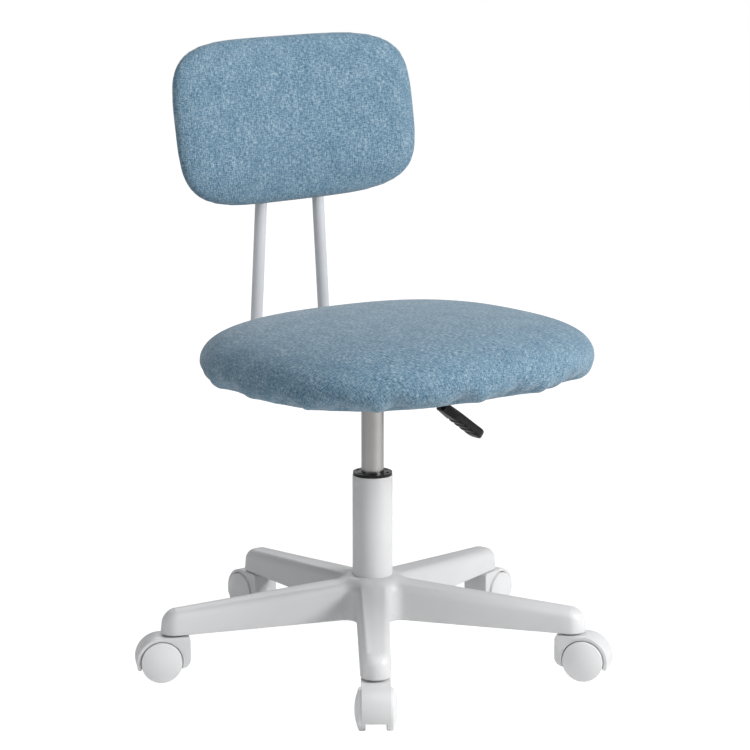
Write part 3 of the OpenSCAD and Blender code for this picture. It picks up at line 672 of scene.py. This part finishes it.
# The paddle: rounded sections along its length, waisted at the rod, with grip ribs on its underside.
vertices, faces = [], []
RINGS = 120
AROUND = 40
for i in range(RINGS + 1):
    share = i / RINGS
    x = PADDLE_LENGTH * (1 - math.cos(math.pi * share)) / 2
    grow = min(x / (WAIST_END * PADDLE_LENGTH), 1)
    width = PADDLE_HALF * (WAIST_SHARE + (1 - WAIST_SHARE) * grow * grow * (3 - 2 * grow))
    nose = max(0, (x - PADDLE_LENGTH + PADDLE_HALF) / PADDLE_HALF)
    tail = max(0, 1 - x / (3 * MM))
    width *= math.sqrt(max(1 - nose * nose, 0.0004)) * math.sqrt(max(1 - tail * tail * 0.7, 0.0004))
    thick = PADDLE_THICK * math.sqrt(max(1 - nose ** 4, 0.002)) * math.sqrt(max(1 - tail * tail * 0.6, 0.002))
    rib = 0
    if RIB_START * PADDLE_LENGTH < x < RIB_END * PADDLE_LENGTH:
        wave = math.sin((x / PADDLE_LENGTH - RIB_START) / RIB_PITCH * 2 * math.pi)
        rib = RIB_DEPTH * max(0, wave) ** 0.6
    for j in range(AROUND):
        turn = 2 * math.pi * j / AROUND
        c, s = math.cos(turn), math.sin(turn)
        y = width * math.copysign(abs(c) ** ROUNDED_SQUARE, c)
        z = (thick - (rib if s < 0 else 0)) * math.copysign(abs(s) ** ROUNDED_SQUARE, s)
        vertices.append((x, y, z))
for i in range(RINGS):
    for j in range(AROUND):
        n = (j + 1) % AROUND
        faces.append((i * AROUND + j, i * AROUND + n, (i + 1) * AROUND + n, (i + 1) * AROUND + j))
faces.append(tuple(range(AROUND)))
faces.append(tuple(range(RINGS * AROUND, (RINGS + 1) * AROUND)))
paddle = add_mesh("lever_grip", vertices, faces)
paddle.data.transform(Matrix.Translation((bend, 0, LEVER_Z)) @ Matrix.Rotation(LEVER_DROOP, 4, "Y")
                      @ Matrix.Translation((LEVER_NECK, 0, 0)))
weld(paddle)
shade(paddle, 45)
paddle.data.materials.append(black_plastic)
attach(paddle, "lever")
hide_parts("lever_paddle")


# ---------------------------------------------------------------- seat
# Foam on a plywood board, wrapped in denim-blue melange cloth that is pulled under the board's edge
# and stapled there; the pull puckers the lower edge a little. A dust cover closes the underside.
SEAT_LOW, SEAT_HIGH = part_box("seat_cover")
SEAT_FORWARD = 52 * MM
SEAT_HW = 237 * MM
SEAT_HL = 197 * MM
SEAT_SQUARE = 2.62
SEAT_FULL = 2.5
SEAT_TUCK = 28 * MM
SEAT_SIDE = 24 * MM
SEAT_MID = SEAT_LOW.z + SEAT_SIDE
SEAT_DOME = SEAT_HIGH.z - SEAT_MID
BOARD_HW = 207.5 * MM
BOARD_HL = 167.5 * MM
HEM_LIFT = 0.1 * MM
GATHER_TOP = SEAT_MID + 4 * MM
GATHER_RUN = 22 * MM
GATHER_DEPTH = 2.8 * MM
GATHERS = 17
FINE_GATHERS = 41
# Both cushions are stuffed alike: the bag starts a little small and the air fills it out.
BAG_SHARE = 0.995
BAG_VOXEL = 5 * MM
BAG_PRESSURE = 4.0
BAG_FRAMES = 20


def oval_point(turn, a, b, square):
    """A point on a squared oval: 2 is an ellipse, and more is squarer."""
    c, s = math.cos(turn), math.sin(turn)
    return (a * math.copysign(abs(c) ** (2 / square), c), b * math.copysign(abs(s) ** (2 / square), s))


def ring_stack(rings):
    """A closed mesh through rings of points; both ends are closed with a fan."""
    count = len(rings[0])
    vertices = [p for ring in rings for p in ring]
    faces = []
    for i in range(len(rings) - 1):
        for j in range(count):
            n = (j + 1) % count
            faces.append((i * count + j, i * count + n, (i + 1) * count + n, (i + 1) * count + j))
    for ring in (rings[0], rings[-1]):
        vertices.append(tuple(sum(p[axis] for p in ring) / count for axis in range(3)))
    last = (len(rings) - 1) * count
    for j in range(count):
        n = (j + 1) % count
        faces.append((n, j, len(vertices) - 2))
        faces.append((last + j, last + n, len(vertices) - 1))
    return vertices, faces


def stuff(piece):
    """Fills a cushion by simulation: remesh and a pressurised cloth without gravity."""
    voxels = piece.modifiers.new("voxels", "REMESH")
    voxels.mode = "VOXEL"
    voxels.voxel_size = BAG_VOXEL
    voxels.use_smooth_shade = True
    bpy.context.view_layer.update()
    apply_modifiers(piece)
    shape = np.array([v.co for v in piece.data.vertices])
    skin = piece.modifiers.new("skin", "CLOTH")
    skin.settings.quality = 5
    skin.settings.mass = 0.3
    skin.settings.tension_stiffness = 25
    skin.settings.compression_stiffness = 25
    skin.settings.shear_stiffness = 12
    skin.settings.bending_stiffness = 4
    skin.settings.use_pressure = True
    skin.settings.uniform_pressure_force = BAG_PRESSURE
    skin.settings.effector_weights.gravity = 0
    for step in range(1, BAG_FRAMES + 1):
        scene.frame_set(step)
    apply_modifiers(piece)
    scene.frame_set(1)
    return shape


def fit_box(points, low, high):
    """Scales points axis by axis into the box from low to high."""
    least, most = points.min(axis=0), points.max(axis=0)
    return np.array(low) + (points - least) * (np.array(high) - np.array(low)) / (most - least)


def smooth_skin(piece, shape, most, low, high, offset):
    """Caps the simulation's travel, fits the skin to its box, lets offset() shape it and subdivides it."""
    now = np.array([v.co for v in piece.data.vertices])
    moved = now - shape
    length = np.linalg.norm(moved, axis=1, keepdims=True)
    moved *= np.minimum(1, most / np.maximum(length, 1e-9))
    piece.data.vertices.foreach_set("co", (shape + moved).ravel())
    relax = piece.modifiers.new("relax", "SMOOTH")
    relax.factor = 0.5
    relax.iterations = 4
    apply_modifiers(piece)
    final = fit_box(np.array([v.co for v in piece.data.vertices]), low, high)
    for vertex, co in zip(piece.data.vertices, final):
        vertex.co = offset(Vector(co))
    finer = piece.modifiers.new("finer", "SUBSURF")
    finer.levels = 1
    finer.render_levels = 1
    apply_modifiers(piece)
    for face in piece.data.polygons:
        face.use_smooth = True


def unroll(piece, half_width, half_length, square, edge, level, centre, closed_back):
    """UVs in metres, measured over the pad from its middle, so that the weave keeps its size.

    level(u, v) is the height of the widest line; edge is the way from the top's rim down to it.
    A pad that is closed_back repeats its front on the back; the others carry on round the edge."""
    layer = piece.data.uv_layers.new(name="weave")
    for face in piece.data.polygons:
        u, v, h = face.center.x - centre[0], face.center.y - centre[1], face.center.z - centre[2]
        behind = h < level(u, v)
        for index in face.loop_indices:
            co = piece.data.vertices[piece.data.loops[index].vertex_index].co
            u, v, h = co.x - centre[0], co.y - centre[1], co.z - centre[2]
            h -= level(u, v)
            r = max(math.hypot(u, v), 1e-6)
            reach = (abs(u / half_width) ** square + abs(v / half_length) ** square) ** (1 / square)
            rim = r / max(reach, 1e-6)
            way = r + max(edge - abs(h), 0)
            if behind and not closed_back:
                way = 2 * rim - r + edge - 0.6 * h
            shift = 1.0 if behind and closed_back else 0
            layer.data[index].uv = (u / r * way + shift, v / r * way)


turns = [2 * math.pi * (j + 0.5) / 160 for j in range(160)]
rings = []
for share in np.linspace(0, 1, 12):
    inset = SEAT_TUCK * (1 - math.sin(share * math.pi / 2) ** 0.9)
    drop = SEAT_SIDE * abs(math.cos(share * math.pi / 2)) ** 0.9
    rings.append([(*oval_point(t, (SEAT_HW - inset) * BAG_SHARE, (SEAT_HL - inset) * BAG_SHARE, SEAT_SQUARE),
                   SEAT_MID - drop + 0.6 * MM) for t in turns])
for share in np.linspace(0, 1, 22)[1:-1]:
    scale = math.cos(share * math.pi / 2) ** (2 / SEAT_FULL)
    height = SEAT_DOME * math.sin(share * math.pi / 2) ** (2 / SEAT_FULL)
    rings.append([(*oval_point(t, SEAT_HW * scale * BAG_SHARE, SEAT_HL * scale * BAG_SHARE, SEAT_SQUARE),
                   SEAT_MID + height * BAG_SHARE) for t in turns])
seat = add_mesh("seat_cushion", *ring_stack(rings))
seat.data.transform(Matrix.Translation((0, -SEAT_FORWARD, 0)))
weld(seat)
shape = stuff(seat)


def pucker(co):
    """Lays the hem flat under the board and gathers the cloth round the lower edge."""
    x, y = co.x, co.y + SEAT_FORWARD
    reach = (abs(x / BOARD_HW) ** SEAT_SQUARE + abs(y / BOARD_HL) ** SEAT_SQUARE) ** (1 / SEAT_SQUARE)
    if co.z > GATHER_TOP:
        return co
    hem = min(max((1.035 - reach) / 0.03, 0), 1)
    z = co.z + (SEAT_LOW.z + HEM_LIFT - co.z) * hem
    turn = math.atan2(y / SEAT_HL, x / SEAT_HW)
    low = min(max((GATHER_TOP - z) / GATHER_RUN, 0), 1)
    rim = min(max((reach - 1) / 0.06, 0), 1)
    wave = math.sin(turn * GATHERS + 1.3 * math.sin(turn * 3))
    wave += 0.6 * math.sin(turn * FINE_GATHERS + 2 * math.sin(turn * 5))
    pull = Vector((0, 0, 0.8)) - Vector((x, y, 0)).normalized()
    return Vector((co.x, co.y, z)) + pull * (wave + 0.3) * low * rim * GATHER_DEPTH


smooth_skin(seat, shape, 2.5 * MM, (-SEAT_HW, -SEAT_FORWARD - SEAT_HL, SEAT_LOW.z + HEM_LIFT),
            (SEAT_HW, -SEAT_FORWARD + SEAT_HL, SEAT_HIGH.z), pucker)
unroll(seat, SEAT_HW, SEAT_HL, SEAT_SQUARE, edge=SEAT_DOME * 0.6, level=lambda u, v: 0,
       centre=(0, -SEAT_FORWARD, SEAT_MID), closed_back=False)

denim, tree, shader = new_material("denim_cloth", 0.88)
shader.inputs["Specular IOR Level"].default_value = 0.2
shader.inputs["Sheen Weight"].default_value = 0.25
shader.inputs["Sheen Roughness"].default_value = 0.5
weave = tree.nodes.new("ShaderNodeUVMap")
weave.uv_map = "weave"


def yarn(across, along, detail):
    """Noise on the unrolled cloth, with so many threads to the metre across and along it."""
    place = tree.nodes.new("ShaderNodeMapping")
    place.inputs["Scale"].default_value = (across, along, 1)
    tree.links.new(weave.outputs["UV"], place.inputs["Vector"])
    noise = tree.nodes.new("ShaderNodeTexNoise")
    noise.noise_dimensions = "2D"
    noise.inputs["Scale"].default_value = 1.0
    noise.inputs["Detail"].default_value = detail
    noise.inputs["Roughness"].default_value = 0.6
    tree.links.new(place.outputs["Vector"], noise.inputs["Vector"])
    return noise.outputs["Fac"]


def combine(kind, a, b):
    """Arithmetic on two sockets or numbers."""
    node = tree.nodes.new("ShaderNodeMath")
    node.operation = kind
    for socket, value in zip(node.inputs, (a, b)):
        if isinstance(value, (int, float)):
            socket.default_value = value
        else:
            tree.links.new(value, socket)
    return node.outputs[0]


# Light and dark threads both ways, thicker slubs among them, and soft patches over the whole cloth.
warp = yarn(700, 170, 2.0)
weft = yarn(170, 700, 2.0)
slub = yarn(260, 30, 1.0)
cloud = yarn(34, 34, 2.0)
heather = combine("ADD", combine("MULTIPLY", warp, 0.5), combine("MULTIPLY", weft, 0.5))
heather = combine("ADD", combine("MULTIPLY", combine("SUBTRACT", heather, 0.5), 1.9), 0.5)
heather = combine("ADD", heather, combine("MULTIPLY", combine("SUBTRACT", slub, 0.5), 0.22))
heather = combine("ADD", heather, combine("MULTIPLY", combine("SUBTRACT", cloud, 0.5), 0.25))
ramp = tree.nodes.new("ShaderNodeValToRGB")
DENIM_DARK = (0.045, 0.11, 0.17)
DENIM_MIDDLE = (0.134, 0.238, 0.324)
DENIM_LIGHT = (0.34, 0.44, 0.51)
for position, colour in ((0.1, DENIM_DARK), (0.5, DENIM_MIDDLE), (0.86, DENIM_LIGHT)):
    stop = ramp.color_ramp.elements.new(position)
    stop.color = (*colour, 1)
ramp.color_ramp.elements.remove(ramp.color_ramp.elements[0])
ramp.color_ramp.elements.remove(ramp.color_ramp.elements[-1])
tree.links.new(heather, ramp.inputs["Fac"])
tree.links.new(ramp.outputs["Color"], shader.inputs["Base Color"])
bump = tree.nodes.new("ShaderNodeBump")
bump.inputs["Strength"].default_value = 0.6
bump.inputs["Distance"].default_value = 0.0006
tree.links.new(heather, bump.inputs["Height"])
tree.links.new(bump.outputs["Normal"], shader.inputs["Normal"])
seat.data.materials.append(denim)
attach(seat, "seat")
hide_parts("seat_cover", "seat_foam")

dust_cloth = new_finish("dust_cloth", 0.95, 350.0, (0.012, 0.012, 0.013), (0.035, 0.035, 0.037),
                        grain=(1500.0, 0.6, 0.0005))
paint_nodes(dust_cloth, "dust_cover")


# ---------------------------------------------------------------- back tubes
# Two bent steel tubes, painted white, run from under the seat up into the backrest.
# Below they are held by the tube plate; above they go up inside the pad, behind its board.
tube_paint = new_finish("tube_paint", 0.33, 14.0, (0.62, 0.63, 0.65), (0.67, 0.68, 0.7),
                        grain=(420.0, 0.12, 0.0004))
paint_nodes(tube_paint, "back_tube_left", "back_tube_right")


# ---------------------------------------------------------------- backrest
# A curved plywood board with foam on both faces inside a cloth cover that is closed along the bottom.
# Its sides come forward, it leans back a little, and the two tubes enter through the bottom edge.
BACK_HW = 182 * MM
BACK_HH = 104.2 * MM
BACK_HT = 23 * MM
BACK_BOW = 24 * MM
BACK_SQUARE = 4.0
BACK_FULL = 2.8
BACK_LEAN = math.radians(8)
BACK_ROLL = 0.024
BACK_CENTRE = Vector((5.5 * MM, 185 * MM, 665.8 * MM))


def back_bow(x, y):
    """How far the pad's middle surface comes forward at a place on it."""
    return BACK_BOW * (x / BACK_HW) ** 2


rings = []
for angle in np.linspace(-math.pi / 2, math.pi / 2, 33)[1:-1]:
    scale = math.cos(angle) ** (2 / BACK_FULL)
    height = math.copysign(abs(math.sin(angle)) ** (2 / BACK_FULL), angle) * BACK_HT * 0.97
    flat = [oval_point(t, BACK_HW * scale * BAG_SHARE, BACK_HH * scale * BAG_SHARE, BACK_SQUARE)
            for t in turns]
    rings.append([(x, y, height + back_bow(x, y)) for x, y in flat])
backrest = add_mesh("backrest_cushion", *ring_stack(rings))
weld(backrest)
shape = stuff(backrest)
smooth_skin(backrest, shape, 2 * MM, (-BACK_HW, -BACK_HH, -BACK_HT),
            (BACK_HW, BACK_HH, max(p[2] for ring in rings for p in ring)), lambda co: co)
unroll(backrest, BACK_HW, BACK_HH, BACK_SQUARE, edge=BACK_HT * 0.8, level=back_bow,
       centre=(0, 0, 0), closed_back=True)
backrest.data.transform(Matrix.Translation(BACK_CENTRE) @ Matrix.Rotation(math.pi / 2 - BACK_LEAN, 4, "X")
                        @ Matrix.Rotation(BACK_ROLL, 4, "Z"))
backrest.data.materials.append(denim)
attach(backrest, "seat")
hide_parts("back_cover", "back_foam")
